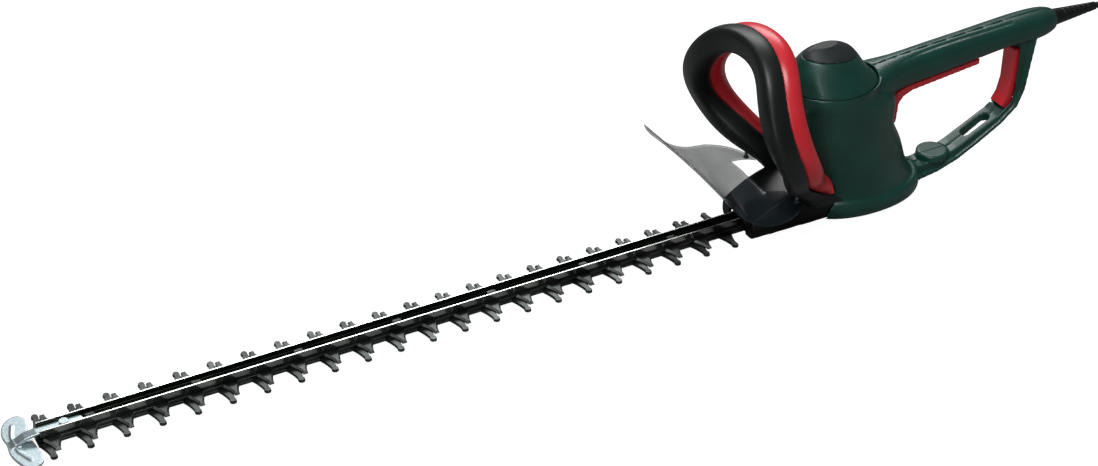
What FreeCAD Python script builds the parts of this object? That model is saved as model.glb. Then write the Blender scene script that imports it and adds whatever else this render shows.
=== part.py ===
import FreeCAD, Part
import math
import os
from FreeCAD import Vector

# Electric hedge trimmer.  Millimetres.  +X runs to the rear handle, the blade points along -X,
# +Z is up.  The origin is the centre of the gearbox underside, on the face it rests on.

# blade
pitch = 35.0              # distance between teeth
tooth_count = 22
first_tooth_x = -905.0
comb_bottom = 2.0
blade_thick = 3.0
slide_gap = 0.3           # air between sliding plates
tooth_reach = 32.2        # centre line to the middle of a tip bulb
bulb_radius = 3.6
tooth_root = 8.5          # half width of a comb tooth at its root
comb_half = 12.0
comb_end_x = -104.0
ear_half = 23.0           # the comb's wide end, screwed up into the gear housing
cutter_reach = 28.4
cutter_root = 9.5
cutter_half = 11.0
rail_half = 8.0
rail_wall = 1.8
rail_top = 16.4
rail_front_x = -910.0
rail_end_x = -139.5
clamp_count = 7           # screws that hold rail, cutter and comb together
clamp_x = [first_tooth_x + pitch * (1.3 + 3 * k) for k in range(clamp_count)]
bush_radius = 4.0

# crank drive
motor_x = -38.0
pinion_teeth = 9          # module 1 mm
gear_teeth = 53
gear_x = motor_x - (pinion_teeth + gear_teeth) / 2
crank_throw = 12.0
crank_angle = math.radians(66.0)   # from +X, at rest
rod_length = 50.0
pin_x = gear_x + crank_throw * math.cos(crank_angle)
pin_y = crank_throw * math.sin(crank_angle)
yoke_x = pin_x - math.sqrt(rod_length ** 2 - pin_y ** 2)
cutter_shift = yoke_x - (gear_x - rod_length)      # away from the middle of the stroke

# body
wall = 3.0
seam_z = 152.0            # where the motor hood sits on the shells
cover_front = 1.7         # thickness of the bottom cover under the blade

# handles
strap_half = 13.0
rim_half = 16.5           # the strap's outer rim stands proud of its web
rim_thick = 4.0
loop_half = 14.5          # half width of the black loop's section
loop_deep = 14.0          # and its half depth
bail_half = 12.4
bail_deep = 14.0
bail_back = 19.0          # how far the bail's centre lies behind the loop's
trigger_travel = 5.0
rear_travel = 4.0

# supply cord
cord_radius = 3.5
cord_points = [(310, 0, 152), (342, 0, 151), (374, -1, 137), (397, -4, 107), (409, -10, 70),
               (416, -20, 34), (424, -44, 9), (428, -76, 3.6), (412, -104, 3.6), (380, -120, 3.6),
               (346, -120, 3.6)]
exit_z = cord_points[0][2]
plug_z = 8.5

made = {}


def save(name, shape):
    made[name] = shape


def box(x0, x1, y0, y1, z0, z1):
    return Part.makeBox(x1 - x0, y1 - y0, z1 - z0, Vector(x0, y0, z0))


def post(x, y, z0, z1, radius):
    return Part.makeCylinder(radius, z1 - z0, Vector(x, y, z0), Vector(0, 0, 1))


def bar_y(x, z, y0, y1, radius):
    return Part.makeCylinder(radius, y1 - y0, Vector(x, y0, z), Vector(0, 1, 0))


def bar_x(y, z, x0, x1, radius):
    return Part.makeCylinder(radius, x1 - x0, Vector(x0, y, z), Vector(1, 0, 0))


def ring(x, y, z0, z1, outer, inner):
    return post(x, y, z0, z1, outer).cut(post(x, y, z0 - 1, z1 + 1, inner))


def group(solids):
    return Part.makeCompound(solids)


def moved(shape, dx=0.0, dy=0.0, dz=0.0):
    copy = shape.copy()
    copy.translate(Vector(dx, dy, dz))
    return copy


def oval(centre, first, second, power=2.0, count=16):
    """Closed superellipse wire; first and second are its half axes as vectors."""
    points = []
    for k in range(count):
        angle = 2 * math.pi * (k + 0.5) / count
        c, s = math.cos(angle), math.sin(angle)
        u = math.copysign(abs(c) ** (2 / power), c)
        v = math.copysign(abs(s) ** (2 / power), s)
        points.append(centre + first * u + second * v)
    curve = Part.BSplineCurve()
    curve.interpolate(points, PeriodicFlag=True)
    return Part.Wire([curve.toShape()])


def flat_oval(z, cx, a, b, power=2.0):
    return oval(Vector(cx, 0, z), Vector(a, 0, 0), Vector(0, b, 0), power)


def upright_oval(x, cz, half_y, half_z, power=2.6):
    return oval(Vector(x, 0, cz), Vector(0, half_y, 0), Vector(0, 0, half_z), power)


def loft(wires):
    return Part.makeLoft(wires, True, False)


def slab_xz(points, half_y):
    """Outline in the XZ plane, pushed out both ways along Y."""
    corners = [Vector(x, -half_y, z) for x, z in points]
    face = Part.Face(Part.makePolygon(corners + corners[:1]))
    return face.extrude(Vector(0, 2 * half_y, 0))


def prism(wire_points, z0, z1):
    corners = [Vector(x, y, z0) for x, y in wire_points]
    face = Part.Face(Part.makePolygon(corners + corners[:1]))
    return face.extrude(Vector(0, 0, z1 - z0))


# blade -------------------------------------------------------------------

def comb_tooth(x, side):
    """One comb tooth: a wide root, a neck and a round bulb."""
    neck = 2.7
    z0, z1 = comb_bottom, comb_bottom + blade_thick
    body = prism([(x - tooth_root, side * (comb_half - 3)), (x - tooth_root, side * (comb_half - 1)),
                  (x - neck, side * (tooth_reach - 5)), (x - neck, side * tooth_reach),
                  (x + neck, side * tooth_reach), (x + neck, side * (tooth_reach - 5)),
                  (x + tooth_root, side * (comb_half - 1)), (x + tooth_root, side * (comb_half - 3))],
                 z0, z1)
    return [body, post(x, side * tooth_reach, z0, z1, bulb_radius)]


def cutter_tooth(x, side, z0, z1):
    tip = 2.5
    return prism([(x - cutter_root, side * (cutter_half - 3)), (x - cutter_root, side * cutter_half),
                  (x - tip, side * cutter_reach), (x + tip, side * cutter_reach),
                  (x + cutter_root, side * cutter_half), (x + cutter_root, side * (cutter_half - 3))],
                 z0, z1)


def slot(x0, x1, half, z0, z1):
    return box(x0, x1, -half, half, z0, z1).fuse([post(x0, 0, z0, z1, half), post(x1, 0, z0, z1, half)])


def make_blade():
    comb_top = comb_bottom + blade_thick
    cutter_bottom = comb_top + slide_gap
    cutter_top = cutter_bottom + blade_thick
    rail_bottom = cutter_top + slide_gap

    teeth = []
    for k in range(tooth_count):
        for side in (-1, 1):
            teeth += comb_tooth(first_tooth_x + k * pitch, side)
    comb = box(first_tooth_x - tooth_root, comb_end_x, -comb_half, comb_half, comb_bottom, comb_top)
    ears = box(-139, -122, -ear_half, ear_half, comb_bottom, comb_top)
    comb = comb.multiFuse(teeth + [ears]).removeSplitter()

    teeth = []
    for k in range(tooth_count - 1):
        for side in (-1, 1):
            teeth.append(cutter_tooth(first_tooth_x + k * pitch + cutter_shift, side,
                                      cutter_bottom, cutter_top))
    tail = box(-150, yoke_x, -cutter_half, cutter_half, cutter_bottom, cutter_top)
    tail_end = post(yoke_x, 0, cutter_bottom, cutter_top, cutter_half)
    cutter = box(first_tooth_x - cutter_root, -150, -cutter_half, cutter_half, cutter_bottom, cutter_top)
    cutter = cutter.multiFuse(teeth + [tail, tail_end]).removeSplitter()

    # the first tooth is cut short in front, so it stays clear of the tip guard
    front = first_tooth_x + cutter_shift - 4
    cutter = cutter.cut(box(front - 20, front, -40, 40, 0, 12))

    # bushes sit in long slots, so the cutter can run from the front to the back of its stroke
    slack = bush_radius + 0.2
    for x in clamp_x:
        middle = x + cutter_shift
        cutter = cutter.cut(slot(middle - crank_throw - 1, middle + crank_throw + 1, slack, 0, 12))
    cutter = cutter.cut(post(yoke_x, 0, 0, 12, 3.0))

    rail = box(rail_front_x, rail_end_x, -rail_half, rail_half, rail_bottom, rail_top)
    trough = rail_half - rail_wall
    rail = rail.cut(box(rail_front_x - 1, 0, -trough, trough, rail_bottom + rail_wall, rail_top + 1))
    for x in clamp_x:
        hole = post(x, 0, 0, rail_top, 2.6)
        comb = comb.cut(hole)
        rail = rail.cut(hole)
        for way in (-1, 1):
            rail = rail.cut(slot(x + way * 13 - 4, x + way * 13 + 4, 2.2, 8, 12))
    save("comb_blade", comb)
    save("cutter_blade", cutter)
    save("guide_rail", rail)

    floor_z = rail_bottom + rail_wall
    heads, bushes, nuts = [], [], []
    for x in clamp_x:
        head = post(x, 0, floor_z, floor_z + 2.6, 4.6)
        head = head.cut(box(x - 5, x + 5, -0.6, 0.6, floor_z + 1.4, floor_z + 3))
        heads.append(head.fuse(post(x, 0, 0.6, floor_z + 0.5, 2.5)).removeSplitter())
        bushes.append(ring(x, 0, comb_top, rail_bottom, bush_radius, 2.6))
        hexagon = [(x + 4 * math.cos(a), 4 * math.sin(a)) for a in [math.pi * k / 3 for k in range(6)]]
        nuts.append(prism(hexagon, 0.2, comb_bottom).cut(post(x, 0, -1, 3, 2.55)))
    save("blade_screws", group(heads))
    save("blade_bushes", group(bushes))
    save("blade_nuts", group(nuts))


def make_tip_guard():
    """Bent sheet crescent round the blade's end, with a tongue held down inside the rail."""
    low, high = 2.2, 4.6
    curve = Part.BSplineCurve()
    outline = [(-940, 9), (-939, 26), (-931, 38), (-920, 41), (-914, 32), (-917, 13), (-916.6, 0),
               (-914, -24), (-917, -37), (-928, -40), (-937, -27), (-940.5, -8)]
    curve.interpolate([Vector(x, y, low) for x, y in outline], PeriodicFlag=True)
    crescent = Part.Face(Part.Wire([curve.toShape()])).extrude(Vector(0, 0, high - low))
    ramp = slab_xz([(-938, low), (-934, low), (-922, 9.0), (-911.5, 10.6), (-903, 10.6), (-903, 13.0),
                    (-912, 13.0), (-924, 11.4), (-938, high)], 5.4)
    tongue = box(-903.5, -872, -5.4, 5.4, 10.6, 13.0).fuse(post(-872, 0, 10.6, 13.0, 5.4))
    guard = crescent.multiFuse([ramp, tongue]).removeSplitter()
    hole = post(-885, 0, 0, 20, 2.6)
    save("tip_guard", guard.cut(hole))
    made["guide_rail"] = made["guide_rail"].cut(hole)
    screw = post(-885, 0, 13.0, 15.4, 4.4).fuse(post(-885, 0, 8.7, 13.2, 2.5))
    save("tip_guard_screw", screw.removeSplitter())


# drive -------------------------------------------------------------------

def gear_blank(x, teeth, start, z0, z1):
    """Spur gear of module 1 with trapezoid teeth and some backlash."""
    radius = teeth / 2
    points = []
    for k in range(teeth):
        middle = start + 2 * math.pi * k / teeth
        for r, half in ((radius - 1.2, 0.95), (radius, 0.62), (radius + 0.85, 0.32)):
            points.append((middle - half / r, r))
        for r, half in ((radius + 0.85, 0.32), (radius, 0.62), (radius - 1.2, 0.95)):
            points.append((middle + half / r, r))
    return prism([(x + r * math.cos(a), r * math.sin(a)) for a, r in points], z0, z1)


def make_drive():
    gear = gear_blank(gear_x, gear_teeth, math.pi / gear_teeth, 19, 27)
    gear = gear.fuse(post(gear_x, 0, 27, 30, 10)).cut(post(gear_x, 0, 18, 31, 4))
    gear = gear.cut(post(pin_x, pin_y, 18, 30, 4))
    for k in range(5):
        angle = crank_angle + 2 * math.pi * (k + 1) / 6
        gear = gear.cut(post(gear_x + 17 * math.cos(angle), 17 * math.sin(angle), 18, 28, 4.5))
    save("drive_gear", gear)
    shaft = post(gear_x, 0, 19, 43, 4).cut(ring(gear_x, 0, 40.5, 41.9, 5, 3.5))
    save("gear_shaft", shaft)
    pin = post(pin_x, pin_y, 14, 27, 4).fuse(post(pin_x, pin_y, 16.5, 19, 6.5))
    save("crank_pin", pin.removeSplitter())

    # connecting rod: swings on the cutter's pin; its big end lies 0.6 mm under the crank pin
    big = ring(pin_x, pin_y, 9.2, 13.4, 8, 4.1)
    small = post(yoke_x, 0, 9.2, 13.4, 7)
    along = Vector(pin_x - yoke_x, pin_y, 0).normalize()
    across = Vector(-along.y, along.x, 0) * 4
    heel = Vector(yoke_x, 0, 0) + along * 4
    toe = Vector(pin_x, pin_y, 0) - along * 6
    shank = prism([(p.x, p.y) for p in (heel - across, toe - across, toe + across, heel + across)],
                  9.2, 13.4)
    rod = small.multiFuse([shank, big]).removeSplitter()
    rod = rod.cut(post(yoke_x, 0, 8, 15, 3.05))
    save("connecting_rod", rod)
    pin = post(yoke_x, 0, 5.3, 14.2, 3.0).fuse(post(yoke_x, 0, 13.8, 15.4, 5.5))
    save("rod_pin", pin.removeSplitter())

    # bearing plate: carries the gear shaft's bushes and the motor's lower bearing
    plate = loft([upright_oval(x, 35.2, y, 4.5, 6) for x, y in ((-92, 26), (-80, 28.5), (-50, 31), (-10, 31))])
    plate = plate.cut(post(gear_x, 0, 25, 52, 7)).cut(post(motor_x, 0, 29, 50, 6))
    plate = plate.cut(post(motor_x, 0, 32.4, 50, 11))
    save("bearing_plate", plate)
    save("gear_bushes", group([ring(gear_x, 0, 30.6, 35, 6.95, 4.05), ring(gear_x, 0, 35.6, 40, 6.95, 4.05)]))
    save("gear_clip", ring(gear_x, 0, 40.6, 41.8, 6.4, 3.55))


def make_motor():
    shaft = post(motor_x, 0, 29.5, 160, 4).fuse(post(motor_x, 0, 17.5, 30, 2.4))
    save("rotor_shaft", shaft.removeSplitter())
    pinion = gear_blank(motor_x, pinion_teeth, math.pi / pinion_teeth * (pinion_teeth % 2), 18.5, 28)
    save("pinion", pinion.cut(post(motor_x, 0, 17, 30, 2.4)))
    save("lower_bearing", ring(motor_x, 0, 32.6, 39.6, 10.95, 4.05))
    save("upper_bearing", ring(motor_x, 0, 150, 157, 10.95, 4.05))

    hub = ring(motor_x, 0, 48.8, 60, 9, 4.0)
    disc = ring(motor_x, 0, 58, 60, 34, 8.5)
    blades = []
    for k in range(12):
        blade = box(motor_x + 12, motor_x + 33, -0.8, 0.8, 51, 58.5)
        blade.rotate(Vector(motor_x, 0, 0), Vector(0, 0, 1), 30 * k + 8)
        blades.append(blade)
    save("cooling_fan", hub.multiFuse([disc] + blades).removeSplitter())

    core = ring(motor_x, 0, 68, 112, 21.5, 4.0)
    for k in range(12):
        groove = box(motor_x + 16, motor_x + 23, -1.4, 1.4, 67, 113)
        groove.rotate(Vector(motor_x, 0, 0), Vector(0, 0, 1), 30 * k)
        core = core.cut(groove)
    save("rotor_core", core)
    save("rotor_windings", group([ring(motor_x, 0, 62, 67.9, 18, 4.02), ring(motor_x, 0, 112.1, 119, 18, 4.02)]))
    save("commutator", ring(motor_x, 0, 122, 138, 12.5, 4.0))

    yoke = post(motor_x, 0, 66, 112, 36).cut(post(motor_x, 0, 60, 120, 22.3))
    for side in (-1, 1):
        pocket = box(motor_x - 15, motor_x + 15, side * 27.8 - 3.7, side * 27.8 + 3.7, 60, 120)
        yoke = yoke.cut(pocket)
    save("stator_core", yoke)
    coils = []
    for side in (-1, 1):
        coil = box(motor_x - 14.4, motor_x + 14.4, side * 27.8 - 3.3, side * 27.8 + 3.3, 62, 117)
        coils.append(coil.makeFillet(2.5, coil.Edges))
    save("field_windings", group(coils))

    holders, brushes, springs = [], [], []
    for side in (-1, 1):
        inner, outer = 15.0, 33.0
        y0, y1 = sorted((side * inner, side * outer))
        holder = box(motor_x - 5.5, motor_x + 5.5, y0, y1, 124, 136)
        holders.append(holder.cut(box(motor_x - 4, motor_x + 4, y0 - 1, y1 + 1, 126, 134)))
        y0, y1 = sorted((side * 12.8, side * 25))
        brushes.append(box(motor_x - 3.8, motor_x + 3.8, y0, y1, 126.2, 133.8))
        y0, y1 = sorted((side * 25.2, side * 32))
        springs.append(bar_y(motor_x, 130, y0, y1, 3).cut(bar_y(motor_x, 130, y0 - 1, y1 + 1, 2)))
    save("brush_holders", group(holders))
    save("carbon_brushes", group(brushes))
    save("brush_springs", group(springs))
    carrier = ring(motor_x, 0, 139.5, 149.8, 33, 7).cut(post(motor_x, 0, 146, 150, 10.98))
    cup = ring(motor_x, 0, 149.8, 158, 14, 10.98)
    save("brush_carrier", carrier.fuse(cup).removeSplitter())


# body --------------------------------------------------------------------

def bell(shrink, low, high):
    """Motor body from the flange's top to the hood seam, as a loft of ovals."""
    rings = [(18, -1.5, 70, 47.5), (30, -4.5, 67.5, 46.5), (50, -11, 66, 46), (70, -17, 64.5, 46),
             (90, -23, 61.5, 46), (110, -24.5, 63, 46), (132, -30, 61, 45.5), (seam_z, -36, 54, 45)]
    wires = [flat_oval(z, cx, a - shrink, b - shrink) for z, cx, a, b in rings]
    return loft(wires).common(box(-200, 200, -100, 100, low, high))


def dome(shrink):
    """Motor hood, closed at the top."""
    rings = [(seam_z, -39, 51, 45), (162, -43, 44, 40), (172, -45.5, 39, 33), (182, -46.5, 33, 25),
             (190, -48, 26, 16), (196.5, -50, 14, 7)]
    return loft([flat_oval(z - shrink * (z > seam_z), cx, a - shrink, b - shrink)
                 for z, cx, a, b in rings])


def grip(shrink, x_end):
    rings = [(-30, 150, 114, 38), (0, 154, 116.5, 31), (25, 157, 119, 22), (48, 159, 121.3, 17.5),
             (75, 160.7, 124, 17), (130, 163.5, 129.5, 17), (190, 166.5, 135.5, 17.5), (225, 167, 135.5, 17),
             (243, 165, 138.5, 14), (250, 162.5, 141, 11)]
    barrel = loft([upright_oval(x, (top + low) / 2, half - shrink, (top - low) / 2 - shrink)
                   for x, top, low, half in rings])
    return barrel.common(box(-60, x_end, -60, 60, 90, 200))


def crease_groove():
    """Shallow step line round the motor body that climbs along the grip's upper edge."""
    line = [(-110, 132), (-20, 132), (5, 141), (20, 149.5), (45, 156), (70, 158.5), (100, 160.3), (190, 164.5)]
    sheet = slab_xz(line + [(x, z + 1.5) for x, z in line[::-1]], 60)
    depth = 1.2
    return sheet.cut(bell(depth, 100, seam_z)).cut(grip(depth, 250))


def set_in(points, distance):
    """Polyline moved sideways, to its left."""
    moved_points = []
    for k, (x, z) in enumerate(points):
        x0, z0 = points[max(k - 1, 0)]
        x1, z1 = points[min(k + 1, len(points) - 1)]
        length = math.hypot(x1 - x0, z1 - z0)
        moved_points.append((x - (z1 - z0) / length * distance, z + (x1 - x0) / length * distance))
    return moved_points


def rear_frame():
    """Strap and rear bar of the D handle."""
    outside = [(50, 0.5), (78, 1), (103, 5), (128, 13), (152, 25), (184, 43), (204, 60), (212, 80), (216, 112),
               (220, 142)]
    inside = [(201, 142), (201, 100), (201, 80), (197, 64), (181, 51), (166, 44), (129, 26), (108, 18),
              (82, 16), (60, 18)]
    frame = slab_xz(outside + inside, strap_half)
    rim = slab_xz(outside + set_in(outside, rim_thick)[::-1], rim_half)
    hook = post(104, 0, 10, 18, 9).fuse(post(104, 0, 17, 25, 18))
    edges = [e for e in hook.Edges if abs(e.BoundBox.ZMax - 25) < 0.01]
    hook = hook.makeFillet(2.5, edges)
    frame = frame.multiFuse([rim, hook])
    return frame.cut(slot(148.5, 171.5, 6, 0, 70))


nose_rings = [(-148, 22, 30.5), (-132, 31, 32.5), (-110, 41, 34), (-89, 46, 35), (-50, 47, 36)]


def nose_shape(ease):
    return loft([upright_oval(x - ease * (x < -140), top / 2, half + ease, top / 2 + ease, 7)
                 for x, top, half in nose_rings])


def nose_cavity():
    """Room inside the gear housing, open below and behind."""
    below = 12
    return loft([upright_oval(x + wall * (x < -140), (top - wall - below) / 2, half - wall,
                              (top - wall + below) / 2, 7) for x, top, half in nose_rings])


def grip_trigger_outline(lift, ease, mouth):
    """Strip round the front corner of the grip's underside.  lift raises the hidden top, ease grows
    the outline and mouth opens its finger side."""
    finger_side = [(40.5 + mouth, 84 - ease), (42.5 + mouth, 107), (48 + mouth, 114 - mouth),
                   (59, 118.5 - ease), (98, 122.5 - ease), (146 + ease, 127.5 - ease)]
    hidden_side = [(146 + ease, 134 + ease + lift), (98, 129.5 + ease + lift), (50, 125 + ease + lift),
                   (38 - ease, 120 + ease + lift), (32 - ease, 108 + ease + lift), (32 - ease, 84 - ease)]
    return finger_side + hidden_side


def rear_trigger_outline(push, ease):
    inside = [(196 - ease, 130 + ease), (196 - ease, 90), (192 - ease, 72), (186 - ease, 62 - ease),
              (192 - ease, 57 - ease)]
    return inside + [(194 + push, 57 - ease), (200 + ease + push, 63), (203 + ease + push, 90),
                     (203 + ease + push, 130 + ease)]


def make_body():
    flange = loft([flat_oval(z, 0, a, b, 2.2) for z, a, b in ((0.5, 72, 45.5), (2.5, 75.5, 49), (6, 77, 50.5),
                                                             (15, 77, 50.5), (19, 75.5, 49), (21, 73, 47))])
    outer = flange.multiFuse([bell(0, 18, seam_z), grip(0, 250), rear_frame()])
    inner = bell(wall, 12, seam_z + 10)
    inner = inner.multiFuse([flat_plug(0.0, 18.5), grip(wall, 236)])
    shell = outer.cut(inner)
    hood_room = flat_prism(dome_foot(0.05), seam_z, seam_z + 60)
    shell = shell.cut(hood_room)
    shell = shell.cut(nose_shape(0.15)).cut(box(-160, -50, -33, 33, -1, 10))
    bosses = []
    for x, z in ((46.5, 60), (56, 29)):
        bosses.append(bar_y(x, z, -40, 40, 5).common(outer))
    for side in (-1, 1):
        y0, y1 = sorted((side * 22, side * 46))
        bosses.append(box(24, 32, y0, y1, 2.5, 14).common(outer))
    shell = shell.multiFuse(bosses).cut(crease_groove())
    lift = trigger_travel + 0.6
    shell = shell.cut(slab_xz(grip_trigger_outline(lift, 0.5, 5.0), 13.3))
    shell = shell.cut(slab_xz(rear_trigger_outline(rear_travel + 0.9, 0.7), 10.6))
    shell = shell.cut(bar_x(0, exit_z, 225, 260, 7.6))
    screws = []
    for x, z, half in housing_screw_places():
        shank = bar_y(x, z, 3 - half, half - 2.9, 1.6)
        shell = shell.cut(shank).cut(bar_y(x, z, half - 3, 60, 3.6))
        screws.append(shank.fuse(bar_y(x, z, half - 3, half - 0.6, 3.5)))
    far = shell.common(box(-120, 270, 0, 80, -5, 200))
    near = shell.common(box(-120, 270, -80, 0, -5, 200))
    save("housing_left", near)
    save("housing_right", far)
    save("housing_screws", group([s.removeSplitter() for s in screws]))

    hood = dome(0).cut(dome(wall))
    cap_room = slab_xz([(-120, 191), (60, 174), (60, 240), (-120, 240)], 60)
    save("motor_hood", hood.cut(cap_room))
    save("hood_cap", hood.common(cap_room))

    foot_plate = flat_prism(flat_oval(0, 0, 66, 40, 2.2), 0, 2.4)
    front_plate = box(-144.5, -40, -27, 27, 0, cover_front)
    cover = foot_plate.fuse(front_plate).removeSplitter()
    cover_screws = []
    for x, y in cover_screw_places:
        cover = cover.cut(post(x, y, -1, 5, 1.7)).cut(post(x, y, -1, 1.2, 3.6))
        cover_screws.append(post(x, y, 0.1, 1.2, 3.5).fuse(post(x, y, 1.0, 10, 1.65)).removeSplitter())
    save("bottom_cover", cover)
    save("cover_screws", group(cover_screws))
    for name in ("housing_left", "housing_right", "gear_housing"):
        made[name] = made[name].cut(cover).cut(group(cover_screws))
    for y in (-19, 19):
        made["comb_blade"] = made["comb_blade"].cut(post(-132, y, 0, 10, 1.9))
    return outer


def dome_foot(ease):
    return flat_oval(seam_z, -39, 51 + ease, 45 + ease)


def flat_prism(wire, z0, z1):
    face = Part.Face(wire)
    solid = face.extrude(Vector(0, 0, z1 - z0))
    solid.translate(Vector(0, 0, z0 - face.BoundBox.ZMin))
    return solid


def flat_plug(z0, z1):
    return flat_prism(flat_oval(0, 0, 71, 44.5, 2.2), z0, z1)


def housing_screw_places():
    """x, z and half depth of the solid there."""
    return [(209, 96, 13), (190, 53.5, 13), (126, 18.5, 13), (56, 29, 20), (46.5, 60, 17)]


cover_screw_places = [(-132, -19), (-132, 19), (-82, -25), (-82, 25), (28, -26), (28, 26)]


def make_nose():
    nose = nose_shape(0).cut(nose_cavity()).cut(box(-160, -135, -15.5, 15.5, -1, 17.4))
    inset = nose_shape(-1.0)          # the bosses end inside the walls
    for side in (-1, 1):
        nose = nose.fuse(post(-132, side * 19, 5.3, 40, 4).common(inset))
        y0, y1 = sorted((side * 21, side * 40))
        nose = nose.fuse(box(-86, -78, y0, y1, 2.5, 12).common(inset))
    save("gear_housing", nose)
    felt = box(-144.5, -141.5, -14.6, 14.6, 8.9, 18.4)
    felt = felt.cut(box(-150, -130, -8.3, 8.3, 0, 16.8))
    save("wiper_felt", felt)


# front handle, bail and hand guard ----------------------------------------

def loop_frames(first, last, count, growth):
    """Points along the front loop, each with its section's sideways and backward directions.  The
    section grows by the given share towards the feet."""
    half = [(-140, 0, 218), (-145, 37, 211), (-155, 66, 184), (-151, 85, 141), (-134, 82, 106),
            (-113, 58, 79), (-90, 43, 57), (-64, 46, 31)]
    points = [Vector(x, -y, z) for x, y, z in half[:0:-1]] + [Vector(*p) for p in half]
    curve = Part.BSplineCurve()
    curve.interpolate(points)
    frames = []
    for k in range(count):
        share = first + (last - first) * k / (count - 1)
        u = curve.FirstParameter + (curve.LastParameter - curve.FirstParameter) * share
        foot = max(0.0, abs(2 * share - 1) - 0.6) / 0.4
        back = Vector(1, 0, 0)
        side = curve.tangent(u)[0].cross(back).normalize()
        frames.append((curve.value(u), side, back * (1 + growth * foot)))
    return frames


def loop_loft(frames, half_width, half_depth, set_back, power=3.0):
    return loft([oval(p + back * set_back, side * half_width, back * half_depth, power)
                 for p, side, back in frames])


def make_loop(body_outer, nose_outer):
    whole = loop_frames(0.0, 1.0, 25, 0.5)
    grip_shell = loop_loft(whole, loop_half, loop_deep, 0)
    channel = loop_loft(loop_frames(0.0, 1.0, 25, -0.15), bail_half + 1.1, 19.4, 17.5, 2.0)
    grip_shell = grip_shell.cut(channel).cut(body_outer).cut(nose_outer)
    save("front_handle", keep_large(grip_shell))
    bail = loop_loft(loop_frames(0.035, 0.965, 25, -0.15), bail_half, bail_deep, bail_back, 2.0)
    bail = bail.cut(moved(body_outer, -1.0)).cut(nose_shape(1.0))
    bail = bail.cut(box(-200, 0, -100, 100, 0, 44)).cut(box(-62, 0, -100, 100, 0, 90))
    save("switch_bail", keep_large(bail))
    return loop_loft(whole, loop_half + 0.4, loop_deep + 0.4, 0)


def keep_large(shape):
    """Drops slivers that a cut leaves behind."""
    solids = [s for s in shape.Solids if s.Volume > 400]
    return solids[0] if len(solids) == 1 else group(solids)


def guard_strip(x, middle_z, edge_z, y_from, y_to, thick=2.8):
    """Closed strip across the guard, from middle_z at y 0 to edge_z at its widest."""
    reach = max(abs(y_from), abs(y_to))
    ys = [y_from + (y_to - y_from) * k / 6 for k in range(7)]
    upper = [Vector(x, y, middle_z + (edge_z - middle_z) * (y / reach) ** 2) for y in ys]
    lower = [p - Vector(0, 0, thick) for p in upper][::-1]
    top, bottom = Part.BSplineCurve(), Part.BSplineCurve()
    top.interpolate(upper)
    bottom.interpolate(lower)
    return Part.Wire([top.toShape(), Part.LineSegment(upper[-1], lower[0]).toShape(), bottom.toShape(),
                      Part.LineSegment(lower[-1], upper[0]).toShape()])


guard_screw_x = -108.0
guard_screw_y = 50.0
guard_screw_z = 48.6      # underside of the heads


def make_guard(loop_room):
    scoop = loft([guard_strip(x, mid, edge, -half, half) for x, mid, edge, half in
                  ((-216, 106, 104, 86), (-206, 93, 88, 89), (-190, 80, 73, 89), (-170, 71, 61, 87),
                   (-152, 66, 57, 86), (-138, 64, 56, 84))])
    parts = [scoop]
    for side in (-1, 1):
        arm = loft([guard_strip(x, mid, edge, side * inner, side * outer) for x, mid, edge, inner, outer in
                    ((-139, 64, 56, 34, 84), (-124, 61, 55, 36, 76), (-110, 57, 52, 37.5, 64),
                     (-100, 53, 48, 38.5, 52))])
        parts.append(arm)
    guard = parts[0].multiFuse(parts[1:])
    notch = flat_prism(flat_oval(30, -100, 38.5, 34, 2.6), 30, 90)
    guard = guard.cut(notch).cut(loop_room)
    screws = []
    for y in (-guard_screw_y, guard_screw_y):
        head = post(guard_screw_x, y, guard_screw_z, guard_screw_z + 1.6, 3)
        shank = post(guard_screw_x, y, guard_screw_z + 1, guard_screw_z + 14, 1.6)
        screws.append(head.fuse(shank).removeSplitter())
    save("hand_guard", keep_large(guard).cut(group(screws)))
    save("guard_screws", group(screws))
    made["front_handle"] = made["front_handle"].cut(group(screws))


# triggers and electrics -----------------------------------------------------

def make_triggers():
    save("grip_trigger", slab_xz(grip_trigger_outline(0, 0, 0), 12.8))
    save("rear_trigger", slab_xz(rear_trigger_outline(0, 0), 9.9))
    save("grip_switch", box(84, 112, -9, 9, 136.5, 152))
    save("rear_switch", box(150, 176, -8, 8, 141, 155))
    save("bail_switch", box(1, 15, -14, 14, 100, 122))


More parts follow.
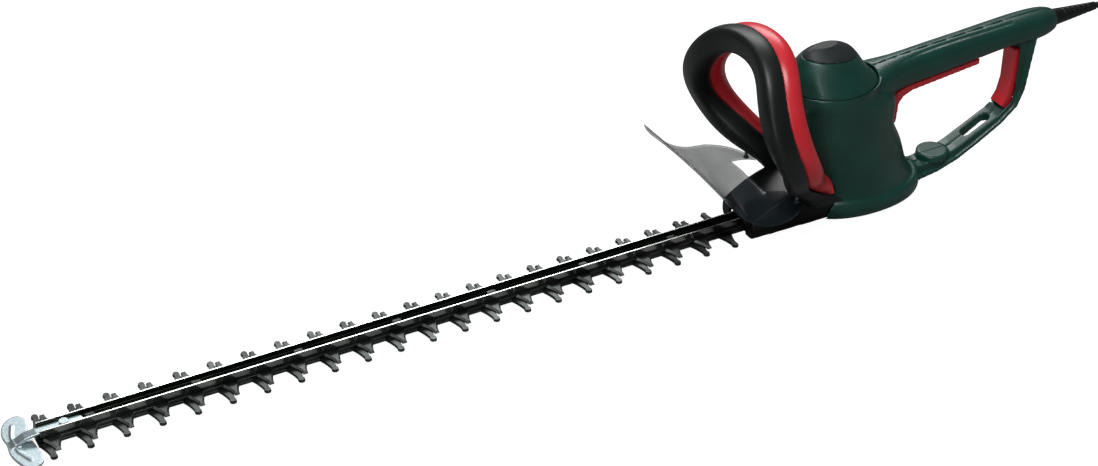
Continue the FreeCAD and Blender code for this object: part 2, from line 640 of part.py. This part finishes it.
def make_supply():
    route = [Vector(*p) for p in cord_points]
    edges = []
    radii = []
    start = route[0]
    for k in range(1, len(route) - 1):
        before, here, after = route[k - 1], route[k], route[k + 1]
        into, out = (here - before), (after - here)
        run = min(into.Length, out.Length)
        turn = into.getAngle(out)
        radius = 0.45 * run / math.tan(turn / 2)
        radii.append(radius)
        reach = 0.45 * run
        into.normalize()
        out.normalize()
        first, last = here - into * reach, here + out * reach
        bisector = (out - into).normalize()
        centre = here + bisector * (radius / math.cos(turn / 2))
        middle = centre - bisector * radius
        edges.append(Part.LineSegment(start, first).toShape())
        edges.append(Part.Arc(first, middle, last).toShape())
        start = last
    edges.append(Part.LineSegment(start, route[-1]).toShape())
    path = Part.Wire(edges)
    section = Part.Wire([Part.Circle(route[0], route[1] - route[0], cord_radius).toShape()])
    tube = path.makePipeShell([section], True, False)
    save("power_cord", tube)
    print("cord radii", [round(r, 1) for r in radii])
    print("cord length", round(path.Length, 1), "volume ratio",
          round(tube.Volume / (path.Length * math.pi * cord_radius ** 2), 4))

    boot = Part.makeCone(9.6, 4.6, 60, Vector(250, 0, exit_z), Vector(1, 0, 0))
    boot = boot.fuse(bar_x(0, exit_z, 238, 250, 7.5)).removeSplitter()
    for k in range(6):
        x = 262 + 7 * k
        boot = boot.cut(bar_x(0, exit_z, x, x + 2.2, 12).cut(bar_x(0, exit_z, x - 1, x + 3, 7.9 - 0.58 * k)))
    boot = boot.cut(bar_x(0, exit_z, 230, 312, cord_radius + 0.03))
    save("strain_relief", boot)
    save("inner_lead", bar_x(0, exit_z, 214, 310, cord_radius))
    clamp = box(218, 226, -9, 9, 146.5, 150.6).cut(bar_x(0, exit_z, 210, 230, cord_radius))
    save("cord_clamp", clamp)

    end = route[-1]
    plug = loft([oval(Vector(end.x - d, end.y, z), Vector(0, half_y, 0), Vector(0, 0, half_z), 3)
                 for d, z, half_y, half_z in ((0, 5.5, 6, 5.3), (8, 6.3, 7, 6), (20, 7.4, 11, 7.1),
                                              (34, plug_z, 17.5, 8.2), (46, plug_z, 17.5, 8.2))])
    save("plug_body", plug)
    pins = [bar_x(end.y + side * 9.5, plug_z, end.x - 65, end.x - 46, 2.4) for side in (-1, 1)]
    save("plug_pins", group(pins))
    save("noise_capacitor", box(190, 205, -9, 9, 142, 158))


make_blade()
make_tip_guard()
make_drive()
make_motor()
make_nose()
body_outer = make_body()
nose_outer = nose_shape(0)
loop_room = make_loop(body_outer, nose_outer)
make_guard(loop_room)
make_triggers()
make_supply()

os.makedirs("parts", exist_ok=True)
for name, shape in made.items():
    shape.exportStep("parts/" + name + ".step")
    print(name, len(shape.Solids), round(shape.Volume / 1000, 2), shape.isValid())
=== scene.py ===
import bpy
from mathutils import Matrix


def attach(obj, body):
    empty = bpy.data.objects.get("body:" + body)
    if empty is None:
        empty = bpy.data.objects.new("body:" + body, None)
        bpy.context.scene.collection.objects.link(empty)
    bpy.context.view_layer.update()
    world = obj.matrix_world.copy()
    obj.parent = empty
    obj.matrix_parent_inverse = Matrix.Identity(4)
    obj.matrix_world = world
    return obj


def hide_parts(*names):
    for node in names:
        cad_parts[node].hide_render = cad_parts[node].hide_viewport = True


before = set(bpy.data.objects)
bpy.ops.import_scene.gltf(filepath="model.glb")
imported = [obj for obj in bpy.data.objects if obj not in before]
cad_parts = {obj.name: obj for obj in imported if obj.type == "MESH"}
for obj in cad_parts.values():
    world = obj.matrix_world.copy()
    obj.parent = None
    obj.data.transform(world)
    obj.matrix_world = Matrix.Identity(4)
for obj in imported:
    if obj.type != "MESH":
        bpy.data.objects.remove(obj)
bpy.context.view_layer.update()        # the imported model, which nothing here moves or resizes

import math

import bmesh
import bpy
from mathutils import Matrix, Vector

mm = 0.001
bpy.context.scene.view_settings.view_transform = "Standard"
collection = bpy.context.scene.collection


studio = {
    "lens": 69.64,
    "sensor": 36.0,
    "farthest": 50,
    "cameraPlace": (-1.18879, -1.58638, 1.26260),
    "cameraAim": (0.37930, 0.73824, -0.55779),
    "cameraRoll": math.radians(-0.517),
    "lamps": [
        {"name": "keySoftbox", "place": (-0.9, -0.6, 2.4), "aim": (-0.2, 0, 0.1), "size": (1.3, 0.7),
         "power": 38},
        {"name": "backSoftbox", "place": (0.5, 1.8, 1.8), "aim": (-0.2, 0, 0.1), "size": (2.0, 0.6),
         "power": 34},
        {"name": "frontStrip", "place": (-1.5, -1.6, 0.9), "aim": (0.0, 0, 0.1), "size": (0.3, 1.6),
         "power": 7},
    ],
    "worldStrength": 0.14,
    "floorColour": "8c8c8b",
    "floorSize": 14.0,
    "floorGlow": 0.95,
}


def hexToLinear(code):
    # sRGB hex to linear RGB with alpha.
    parts = [int(code[i:i + 2], 16) / 255 for i in (0, 2, 4)]
    return [p / 12.92 if p <= 0.04045 else ((p + 0.055) / 1.055) ** 2.4 for p in parts] + [1.0]


def addCamera():
    data = bpy.data.cameras.new("camera")
    data.lens = studio["lens"]
    data.sensor_width = studio["sensor"]
    data.clip_end = studio["farthest"]
    camera = bpy.data.objects.new("camera", data)
    collection.objects.link(camera)
    turn = Vector(studio["cameraAim"]).to_track_quat("-Z", "Y")
    camera.rotation_euler = (turn.to_matrix().to_4x4()
                             @ Matrix.Rotation(studio["cameraRoll"], 4, "Z")).to_euler()
    camera.location = studio["cameraPlace"]
    bpy.context.scene.camera = camera


def addLight(name, place, aim, size, power):
    data = bpy.data.lights.new(name, "AREA")
    data.shape = "RECTANGLE"
    data.size, data.size_y = size
    data.energy = power
    lamp = bpy.data.objects.new(name, data)
    collection.objects.link(lamp)
    lamp.location = place
    lamp.rotation_euler = (Vector(aim) - Vector(place)).to_track_quat("-Z", "Y").to_euler()


addCamera()
for lamp in studio["lamps"]:
    addLight(**lamp)
world = bpy.data.worlds.new("studioWorld")
world.use_nodes = True
sky = world.node_tree.nodes["Background"]
sky.inputs["Color"].default_value = (1, 1, 1, 1)
sky.inputs["Strength"].default_value = studio["worldStrength"]
bpy.context.scene.world = world

bpy.ops.mesh.primitive_plane_add(size=studio["floorSize"])
floor = bpy.context.object
floor.name = "floor"


def addNode(tree, kind, settings=None, links=None):
    # A node with its settings and links; a setting is an attribute, or an input's name or number.
    node = tree.nodes.new(kind)
    for key, value in (settings or {}).items():
        if isinstance(key, str) and hasattr(node, key):
            setattr(node, key, value)
        else:
            node.inputs[key].default_value = value
    for key, source in (links or {}).items():
        tree.links.new(source, node.inputs[key])
    return node


def newMaterial(name, surface):
    # A material whose Principled shader has its uniform sockets set from surface.
    material = bpy.data.materials.new(name)
    material.use_nodes = True
    tree = material.node_tree
    shader = tree.nodes["Principled BSDF"]
    for socket, value in surface.items():
        shader.inputs[socket].default_value = value
    place = addNode(tree, "ShaderNodeTexCoord").outputs["Object"]
    return material, tree, shader, place


def noiseAt(tree, place, size, detail=3.0, stretch=(1, 1, 1)):
    # Noise whose features are about size millimetres across.
    scaled = addNode(tree, "ShaderNodeMapping", {"Scale": stretch}, {"Vector": place})
    return addNode(tree, "ShaderNodeTexNoise", {"Scale": 1 / (size * mm), "Detail": detail},
                   {"Vector": scaled.outputs["Vector"]}).outputs["Fac"]


def blendColours(tree, factor, dark, light, low=0.3, high=0.7):
    # Dark below the factor low, light above high, and a blend between.
    ramp = addNode(tree, "ShaderNodeValToRGB", {}, {"Fac": factor})
    ramp.color_ramp.elements[0].position, ramp.color_ramp.elements[1].position = low, high
    ramp.color_ramp.elements[0].color = hexToLinear(dark)
    ramp.color_ramp.elements[1].color = hexToLinear(light)
    return ramp.outputs["Color"]


def between(tree, factor, low, high):
    # The factor 0 to 1 carried over to low to high.
    span = addNode(tree, "ShaderNodeMapRange", {"To Min": low, "To Max": high}, {"Value": factor})
    return span.outputs["Result"]


def bumpOf(tree, height, depth):
    # Bump whose full height is depth millimetres.
    return addNode(tree, "ShaderNodeBump", {"Strength": 1.0, "Distance": depth * mm},
                   {"Height": height}).outputs["Normal"]


def mouldedPlastic(name, dark, light, roughness, grain=1.1, depth=0.035, extra=None):
    # Injection-moulded plastic: spark-eroded grain, faint flow shading, a few polished rub marks.
    material, tree, shader, place = newMaterial(name, {"IOR": 1.5, **(extra or {})})
    flow = noiseAt(tree, place, 38, 2.0)
    texture = noiseAt(tree, place, grain, 2.0)
    rubbed = noiseAt(tree, place, 14, 4.0, (0.5, 1, 1))
    tree.links.new(blendColours(tree, flow, dark, light), shader.inputs["Base Color"])
    tree.links.new(between(tree, rubbed, roughness - 0.05, roughness + 0.06), shader.inputs["Roughness"])
    tree.links.new(bumpOf(tree, texture, depth), shader.inputs["Normal"])
    return material


def workedMetal(name, dark, light, roughness, lines=(1, 14, 14), size=9.0, depth=0.02):
    # Steel with the long fine marks of rolling or grinding, along the first axis.
    material, tree, shader, place = newMaterial(name, {"Metallic": 1.0})
    marks = noiseAt(tree, place, size, 4.0, lines)
    stains = noiseAt(tree, place, 22, 3.0)
    tree.links.new(blendColours(tree, stains, dark, light, 0.35, 0.65), shader.inputs["Base Color"])
    tree.links.new(between(tree, marks, roughness - 0.07, roughness + 0.1), shader.inputs["Roughness"])
    tree.links.new(bumpOf(tree, marks, depth), shader.inputs["Normal"])
    return material


def spangledZinc():
    # Zinc-plated pressed sheet: pale blue-grey crystals, softly mottled, low gloss.
    material, tree, shader, place = newMaterial("brightZincPlate", {"Metallic": 0.85})
    cells = addNode(tree, "ShaderNodeTexVoronoi", {"Scale": 1 / (2.2 * mm)}, {"Vector": place})
    grey = addNode(tree, "ShaderNodeRGBToBW", {}, {"Color": cells.outputs["Color"]}).outputs["Val"]
    tree.links.new(blendColours(tree, grey, "a9bac0", "c3d1d4", 0.0, 1.0), shader.inputs["Base Color"])
    tree.links.new(between(tree, noiseAt(tree, place, 3.0), 0.30, 0.44), shader.inputs["Roughness"])
    tree.links.new(bumpOf(tree, noiseAt(tree, place, 1.2), 0.02), shader.inputs["Normal"])
    return material


def smokedPolycarbonate():
    # Smoke-tinted clear polycarbonate: glossy and lightly scuffed, see-through face on, dark edge on.
    material, tree, shader, place = newMaterial("smokedPolycarbonate", {"IOR": 1.58})
    scuffs = noiseAt(tree, place, 5, 6.0, (1, 5, 1))
    tree.links.new(blendColours(tree, scuffs, "1b2328", "2b343a", 0.4, 0.8), shader.inputs["Base Color"])
    tree.links.new(between(tree, scuffs, 0.04, 0.16), shader.inputs["Roughness"])
    tree.links.new(bumpOf(tree, noiseAt(tree, place, 40, 1.0), 0.3), shader.inputs["Normal"])
    edgeOn = addNode(tree, "ShaderNodeLayerWeight", {"Blend": 0.25}).outputs["Facing"]
    tree.links.new(between(tree, edgeOn, 0.30, 0.95), shader.inputs["Alpha"])
    return material


def layersAlongZ(tree, place, thick):
    # Bands thick millimetres apart, stacked upwards.
    return addNode(tree, "ShaderNodeTexWave", {"bands_direction": "Z", "Scale": 1 / (6.28 * thick * mm)},
                   {"Vector": place}).outputs["Fac"]


def woundCopper():
    # Enamelled copper wire, laid turn beside turn.
    material, tree, shader, place = newMaterial("enamelledCopperWire", {"Metallic": 1.0, "Roughness": 0.3})
    turns = layersAlongZ(tree, place, 0.7)
    tree.links.new(blendColours(tree, turns, "6b2f16", "c9743c"), shader.inputs["Base Color"])
    tree.links.new(bumpOf(tree, turns, 0.2), shader.inputs["Normal"])
    return material


def stackedLaminations():
    # Punched silicon-steel sheets, stacked, with varnish between them.
    material, tree, shader, place = newMaterial("stackedLaminations", {"Metallic": 1.0})
    sheets = layersAlongZ(tree, place, 0.8)
    tree.links.new(blendColours(tree, sheets, "2c2f33", "6f757a"), shader.inputs["Base Color"])
    tree.links.new(between(tree, sheets, 0.3, 0.6), shader.inputs["Roughness"])
    tree.links.new(bumpOf(tree, sheets, 0.08), shader.inputs["Normal"])
    return material


materials = {
    "green": mouldedPlastic("greenGlassFilledNylon", "04372e", "08443a", 0.38, extra={"Coat Weight": 0.08}),
    "softBlack": mouldedPlastic("blackSoftGripRubber", "080d0d", "0f1515", 0.40, 0.9, 0.03,
                                extra={"Specular IOR Level": 0.42}),
    "hardBlack": mouldedPlastic("blackTexturedNylon", "040506", "08090a", 0.36,
                                extra={"Specular IOR Level": 0.3}),
    "capBlack": mouldedPlastic("greyBlackTexturedCap", "1a2021", "21282a", 0.55, 1.3, 0.05),
    "red": mouldedPlastic("redMouldedNylon", "cf222d", "db2f39", 0.33, extra={"Coat Weight": 0.1}),
    "clear": smokedPolycarbonate(),
    "bladeSteel": workedMetal("oiledBladeSteel", "3a3d3d", "505452", 0.36),
    "groundEdge": workedMetal("freshGroundEdge", "9ba09d", "c3c8c4", 0.28, (14, 1, 14), 5.0),
    "rail": workedMetal("polishedRailSteel", "858886", "a9aba8", 0.16),
    # Steel for the rail's trough, painted darker than the sides: painted shade in the recess.
    "railTroughPaintedShade": workedMetal("paintedTroughShadeSteel", "2b332e", "414a43", 0.34),
    # Steel for the rail's top lips, painted brighter than the sides: a painted highlight.
    "railLipPaintedHighlight": workedMetal("paintedLipHighlightSteel", "c9ccca", "e2e4e2", 0.22),
    "zinc": spangledZinc(),
    "gearSteel": workedMetal("machinedGearSteel", "6a6c6e", "8b8d8f", 0.3, (1, 1, 10), 4.0),
    "castAluminium": workedMetal("dieCastAluminium", "8d9092", "a7aaac", 0.48, (1, 1, 1), 2.0, 0.06),
    "bronze": workedMetal("sinteredBronze", "8a6230", "a97c42", 0.45, (1, 1, 1), 1.0, 0.05),
    "laminations": stackedLaminations(),
    "copper": woundCopper(),
    "carbon": mouldedPlastic("pressedCarbon", "151515", "242424", 0.5, 0.6),
    "filmYellow": mouldedPlastic("yellowFilmCase", "a8892c", "b99a3a", 0.4),
    "felt": mouldedPlastic("pressedFelt", "2b2b2a", "3a3a38", 0.95, 0.7, 0.3),
    "cordRubber": mouldedPlastic("cordNeopreneRubber", "121516", "191d1e", 0.5, 0.8, 0.03),
    "nickel": workedMetal("nickelPlatedBrass", "b0aa9c", "c6c1b4", 0.2, (1, 14, 1), 4.0),
}

cadFinish = {
    "green": ["housing_left", "housing_right", "motor_hood"],
    "softBlack": ["front_handle", "strain_relief"],
    "capBlack": ["hood_cap"],
    "hardBlack": ["gear_housing", "bottom_cover", "brush_holders", "brush_carrier", "cord_clamp",
                  "grip_switch", "rear_switch", "bail_switch", "cooling_fan"],
    "red": ["switch_bail", "grip_trigger", "rear_trigger"],
    "clear": ["hand_guard"],
    "bladeSteel": ["comb_blade", "cutter_blade", "blade_screws"],
    "rail": ["guide_rail"],
    "zinc": ["tip_guard", "tip_guard_screw", "blade_nuts", "blade_bushes", "housing_screws",
             "cover_screws", "guard_screws"],
    "gearSteel": ["drive_gear", "gear_shaft", "crank_pin", "gear_clip", "rotor_shaft", "pinion",
                  "connecting_rod", "rod_pin", "lower_bearing", "upper_bearing", "brush_springs"],
    "castAluminium": ["bearing_plate"],
    "bronze": ["gear_bushes"],
    "laminations": ["stator_core", "rotor_core"],
    "copper": ["field_windings", "rotor_windings", "commutator"],
    "carbon": ["carbon_brushes"],
    "filmYellow": ["noise_capacitor"],
    "felt": ["wiper_felt"],
    "cordRubber": ["inner_lead", "plug_body"],
    "nickel": ["plug_pins"],
}
for finish, nodes in cadFinish.items():
    for node in nodes:
        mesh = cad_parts[node].data
        mesh.materials.clear()
        mesh.materials.append(materials[finish])
print("materials set")

# Grey paper that glows for the camera's own rays only: it looks white, yet throws little light back.
paper, paperTree, paperShader, _ = newMaterial("whiteSeamlessPaper", {
    "Roughness": 0.9, "Base Color": hexToLinear(studio["floorColour"]), "Emission Color": (1, 1, 1, 1)})
ray = addNode(paperTree, "ShaderNodeLightPath")
paperTree.links.new(between(paperTree, ray.outputs["Is Camera Ray"], 0.0, studio["floorGlow"]),
                    paperShader.inputs["Emission Strength"])
floor.data.materials.append(paper)


blade = {
    "pitch": 35.0, "firstX": -905.0, "plateEdge": 0.4,
    "flankSteps": 8, "flankCurve": 1.7, "bulbFrom": -42, "bulbTurn": 264,
    "groundFrom": 0.3,
    "comb": {"node": "comb_blade", "body": "root", "ground": "bladeSteel", "ends": (-913.5, -104.0),
             "shift": 0.0, "count": 22, "z": (2.0, 5.0), "half": 12.0, "root": 8.5, "narrow": 2.7,
             "reach": 32.2, "bulb": 3.6, "edge": 0.5},
    "cutter": {"node": "cutter_blade", "body": "cutter", "ground": "groundEdge", "ends": (-902.9, -112.9),
               "shift": 6.1, "count": 21, "z": (5.3, 8.3), "half": 11.0, "root": 9.5, "narrow": 2.5,
               "reach": 28.4, "edge": 1.7},
}


def meshPiece(name, points, faces, material=None):
    # A flat-shaded object from points in millimetres.
    mesh = bpy.data.meshes.new(name)
    mesh.from_pydata([Vector(p) * mm for p in points], [], faces)
    if material:
        mesh.materials.append(material)
    for face in mesh.polygons:
        face.use_smooth = False
    piece = bpy.data.objects.new(name, mesh)
    collection.objects.link(piece)
    return piece


def bake(piece):
    # Turns the modifiers into plain mesh.
    graph = bpy.context.evaluated_depsgraph_get()
    mesh = bpy.data.meshes.new_from_object(piece.evaluated_get(graph))
    piece.modifiers.clear()
    piece.data = mesh


mergeWithin = 0.002


def mergedCopy(node, name):
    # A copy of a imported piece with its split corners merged.
    work = bmesh.new()
    work.from_mesh(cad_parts[node].data)
    bmesh.ops.remove_doubles(work, verts=work.verts, dist=mergeWithin * mm)
    mesh = bpy.data.meshes.new(name)
    work.to_mesh(mesh)
    work.free()
    for attribute in [a.name for a in mesh.attributes if a.name == "custom_normal"]:
        mesh.attributes.remove(mesh.attributes[attribute])
    piece = bpy.data.objects.new(name, mesh)
    collection.objects.link(piece)
    return piece


def softened(node, look):
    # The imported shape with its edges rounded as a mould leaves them.
    piece = mergedCopy(node, look["name"])
    remesh = piece.modifiers.new("even", "REMESH")
    remesh.mode = "VOXEL"
    remesh.voxel_size = look["voxel"] * mm
    smooth = piece.modifiers.new("rounded", "SMOOTH")
    smooth.factor = 0.5
    smooth.iterations = look["passes"]
    bake(piece)
    if "shape" in look:
        for vertex in piece.data.vertices:
            vertex.co.z += look["shape"](vertex.co.x / mm, vertex.co.y / mm) * mm
    piece.data.materials.clear()
    piece.data.materials.append(materials[look["finish"]])
    for face in piece.data.polygons:
        face.use_smooth = True
        face.material_index = 0
    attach(piece, look["body"])
    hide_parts(node)
    print(look["name"], len(piece.data.polygons))
    return piece


tipRidge = {
    "line": [(-928, 28), (-932.5, 14), (-934, 0), (-932, -14), (-925.5, -29)],
    "height": 0.75, "width": 1.3,
}


def pressedRidge(x, y):
    # Height of the curved stiffening ridge pressed into the tip guard.
    place = Vector((x, y))
    gaps = []
    for start, end in zip(tipRidge["line"], tipRidge["line"][1:]):
        along = Vector(end) - Vector(start)
        share = min(1.0, max(0.0, (place - Vector(start)).dot(along) / along.length_squared))
        gaps.append((place - Vector(start) - along * share).length)
    return tipRidge["height"] * math.exp(-(min(gaps) / tipRidge["width"]) ** 2)


softPieces = {
    "housing_left": {"name": "nearHousing", "voxel": 1.25, "passes": 3, "finish": "green", "body": "root"},
    "housing_right": {"name": "farHousing", "voxel": 1.25, "passes": 3, "finish": "green", "body": "root"},
    "motor_hood": {"name": "hood", "voxel": 1.1, "passes": 3, "finish": "green", "body": "root"},
    "hood_cap": {"name": "hoodCap", "voxel": 0.9, "passes": 3, "finish": "capBlack", "body": "root"},
    "gear_housing": {"name": "gearHousing", "voxel": 1.1, "passes": 4, "finish": "hardBlack", "body": "root"},
    "front_handle": {"name": "frontHandle", "voxel": 1.3, "passes": 5, "finish": "softBlack", "body": "root"},
    "switch_bail": {"name": "switchBail", "voxel": 1.3, "passes": 4, "finish": "red", "body": "bail"},
    "hand_guard": {"name": "handGuard", "voxel": 0.95, "passes": 4, "finish": "clear", "body": "root"},
    "grip_trigger": {"name": "gripTrigger", "voxel": 0.8, "passes": 6, "finish": "red",
                     "body": "grip_trigger"},
    "rear_trigger": {"name": "rearTrigger", "voxel": 0.7, "passes": 6, "finish": "red",
                     "body": "rear_trigger"},
    "strain_relief": {"name": "cordBoot", "voxel": 0.5, "passes": 3, "finish": "softBlack", "body": "root"},
    "tip_guard": {"name": "tipGuard", "voxel": 0.55, "passes": 2, "finish": "zinc", "body": "root",
                  "shape": pressedRidge},
    "plug_body": {"name": "plugBody", "voxel": 0.7, "passes": 4, "finish": "cordRubber", "body": "root"},
    "plug_pins": {"name": "plugPins", "voxel": 0.3, "passes": 2, "finish": "nickel", "body": "root"},
}
soft = {node: softened(node, look) for node, look in softPieces.items()}
print("moulded pieces done")


def toothOutline(look, side):
    # Outline of a tooth, up one curved flank and down the other, round a bulb at the tip if it has one.
    shares = [k / blade["flankSteps"] for k in range(blade["flankSteps"] + 1)]
    narrow = look["narrow"]
    flank = [(look["root"], look["half"] - 3)]
    for t in shares:
        width = narrow + (look["root"] - narrow) * (1 - t) ** blade["flankCurve"]
        flank.append((width, look["half"] - 1 + (look["reach"] - look["half"] + 1) * t))
    tip = []
    if "bulb" in look:
        flank.pop()
        for t in shares:
            angle = math.radians(blade["bulbFrom"] + blade["bulbTurn"] * t)
            tip.append((look["bulb"] * math.cos(angle), look["reach"] + look["bulb"] * math.sin(angle)))
    return [(x, y * side) for x, y in flank + tip + [(-x, y) for x, y in flank[::-1]]]


def shrunk(outline, distance):
    # Outline moved inwards by its own corner normals.
    area = sum(a[0] * b[1] - b[0] * a[1] for a, b in zip(outline, outline[1:] + outline[:1]))
    turn = 1 if area > 0 else -1
    inner = []
    for k, (x, y) in enumerate(outline):
        before, after = outline[k - 1], outline[(k + 1) % len(outline)]
        along = Vector((after[0] - before[0], after[1] - before[1]))
        along = along.normalized() if along.length > 0 else Vector((1, 0))
        inner.append((x - along.y * distance * turn, y + along.x * distance * turn))
    return inner


def ringFaces(base, count, side):
    # Quads between a ring of points and the ring above it.
    return [[base + (k + 1) % count, base + k, base + count + k, base + count + (k + 1) % count][::-side]
            for k in range(count)]


def toothPair(name, look):
    # Two opposite teeth at x 0, as a dark body and its ground edge.
    low, high = look["z"]
    bodyPoints, bodyFaces, edgePoints, edgeFaces = [], [], [], []
    for side in (-1, 1):
        outline = toothOutline(look, side)
        inner = shrunk(outline, look["edge"])
        count = len(outline)
        step = low + (high - low) * blade["groundFrom"]
        base = len(bodyPoints)
        bodyPoints += [(x, y, low) for x, y in outline] + [(x, y, step) for x, y in outline]
        bodyPoints += [(x, y, high) for x, y in inner]
        bodyFaces += ringFaces(base, count, side)
        bodyFaces.append([base + k for k in range(count)][::-side])
        bodyFaces.append([base + 2 * count + k for k in range(count)][::side])
        base = len(edgePoints)
        edgePoints += [(x, y, step) for x, y in outline] + [(x, y, high) for x, y in inner]
        edgeFaces += ringFaces(base, count, side)
    return (meshPiece(name + "Body", bodyPoints, bodyFaces),
            meshPiece(name + "Edge", edgePoints, edgeFaces))


def bladeNodes():
    # Node group: a row of tooth pairs laid at an even pitch, joined to the plate that carries them.
    group = bpy.data.node_groups.new("toothRow", "GeometryNodeTree")
    face = group.interface
    face.new_socket("Geometry", in_out="INPUT", socket_type="NodeSocketGeometry")
    face.new_socket("Geometry", in_out="OUTPUT", socket_type="NodeSocketGeometry")
    sockets = {}
    for label, kind in (("Tooth", "NodeSocketObject"), ("Ground Edge", "NodeSocketObject"),
                        ("Count", "NodeSocketInt"), ("Start", "NodeSocketVector"),
                        ("Pitch", "NodeSocketVector"), ("Steel", "NodeSocketMaterial"),
                        ("Ground Steel", "NodeSocketMaterial")):
        sockets[label] = face.new_socket(label, in_out="INPUT", socket_type=kind).identifier
    given = group.nodes.new("NodeGroupInput")
    out = group.nodes.new("NodeGroupOutput")
    line = group.nodes.new("GeometryNodeMeshLine")
    group.links.new(given.outputs["Count"], line.inputs["Count"])
    group.links.new(given.outputs["Start"], line.inputs["Start Location"])
    group.links.new(given.outputs["Pitch"], line.inputs["Offset"])
    join = group.nodes.new("GeometryNodeJoinGeometry")
    for label, finish in (("Tooth", "Steel"), ("Ground Edge", "Ground Steel")):
        info = group.nodes.new("GeometryNodeObjectInfo")
        group.links.new(given.outputs[label], info.inputs["Object"])
        copies = group.nodes.new("GeometryNodeInstanceOnPoints")
        group.links.new(line.outputs["Mesh"], copies.inputs["Points"])
        group.links.new(info.outputs["Geometry"], copies.inputs["Instance"])
        real = group.nodes.new("GeometryNodeRealizeInstances")
        group.links.new(copies.outputs["Instances"], real.inputs["Geometry"])
        paint = group.nodes.new("GeometryNodeSetMaterial")
        group.links.new(real.outputs["Geometry"], paint.inputs["Geometry"])
        group.links.new(given.outputs[finish], paint.inputs["Material"])
        group.links.new(paint.outputs["Geometry"], join.inputs["Geometry"])
    group.links.new(given.outputs["Geometry"], join.inputs["Geometry"])
    group.links.new(join.outputs["Geometry"], out.inputs["Geometry"])
    return group, sockets


toothRow, toothSockets = bladeNodes()


def barPoints(x0, x1, half, low, high, edge):
    # Long plate with its upper edges ground off.
    section = [(-half, low), (half, low), (half, high - edge), (half - edge, high), (edge - half, high),
               (-half, high - edge)]
    points = [(x, y, z) for x in (x0, x1) for y, z in section]
    count = len(section)
    faces = [[k, (k + 1) % count, count + (k + 1) % count, count + k] for k in range(count)]
    return points, faces + [list(range(count))[::-1], list(range(count, 2 * count))]


def addBlade(name):
    # A plate with its row of tooth pairs.
    look = blade[name]
    node, body = look["node"], look["body"]
    points, faces = barPoints(*look["ends"], look["half"], *look["z"], blade["plateEdge"])
    piece = meshPiece(name, points, faces, materials["bladeSteel"])
    tooth, edge = toothPair(name + "Tooth", look)
    modifier = piece.modifiers.new("teeth", "NODES")
    modifier.node_group = toothRow
    values = {"Tooth": tooth, "Ground Edge": edge, "Count": look["count"],
              "Start": ((blade["firstX"] + look["shift"]) * mm, 0, 0), "Pitch": (blade["pitch"] * mm, 0, 0),
              "Steel": materials["bladeSteel"], "Ground Steel": materials[look["ground"]]}
    for label, value in values.items():
        modifier[toothSockets[label]] = value
    bake(piece)
    for spare in (tooth, edge):
        bpy.data.objects.remove(spare)
    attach(piece, body)
    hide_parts(node)
    print(name, len(piece.data.polygons))


for plate in ("comb", "cutter"):
    addBlade(plate)


rail = {
    "finishes": ("rail", "railTroughPaintedShade", "railLipPaintedHighlight"),
    "troughHalf": 6.25, "troughFloor": 9.5, "lipFrom": 16.3,
    "edge": 0.3, "edgeAngle": 50,
}


def addRail():
    # Pressed channel: polished sides, a trough painted dark as painted shade, and top lips painted bright as
    # a painted highlight.
    piece = mergedCopy("guide_rail", "rail")
    mesh = piece.data
    mesh.materials.clear()
    for finish in rail["finishes"]:
        mesh.materials.append(materials[finish])
    for face in mesh.polygons:
        _, y, z = face.center / mm
        face.use_smooth = False
        face.material_index = 0
        # Faces inside the trough take the darker steel: painted shade.
        if abs(y) < rail["troughHalf"] and z > rail["troughFloor"]:
            face.material_index = 1
        # Faces along the top lips take the bright steel: a painted highlight.
        if z > rail["lipFrom"]:
            face.material_index = 2
    bevel = piece.modifiers.new("brokenEdges", "BEVEL")
    bevel.width = rail["edge"] * mm
    bevel.limit_method = "ANGLE"
    bevel.angle_limit = math.radians(rail["edgeAngle"])
    bake(piece)
    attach(piece, "root")
    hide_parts("guide_rail")


addRail()
print("blade done")


cord = {
    "points": [(310, 0, 152), (342, 0, 151), (374, -1, 137), (397, -4, 107), (409, -10, 70), (416, -20, 34),
               (424, -44, 9), (428, -76, 3.6), (412, -104, 3.6), (380, -120, 3.6), (346, -120, 3.6)],
    "diameter": 7.0, "length": 347.0,
}
curve = bpy.data.curves.new("powerCord", "CURVE")
curve.dimensions = "3D"
curve.bevel_depth = cord["diameter"] / 2 * mm
curve.bevel_resolution = 8
curve.resolution_u = 16
spline = curve.splines.new("NURBS")
spline.points.add(len(cord["points"]) - 1)
for point, place in zip(spline.points, cord["points"]):
    point.co = (*(Vector(place) * mm), 1)
spline.order_u = 3
spline.use_endpoint_u = True
curve.materials.append(materials["cordRubber"])
flex = bpy.data.objects.new("powerCord", curve)
collection.objects.link(flex)
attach(flex, "root")
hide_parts("power_cord")
print("cord done")
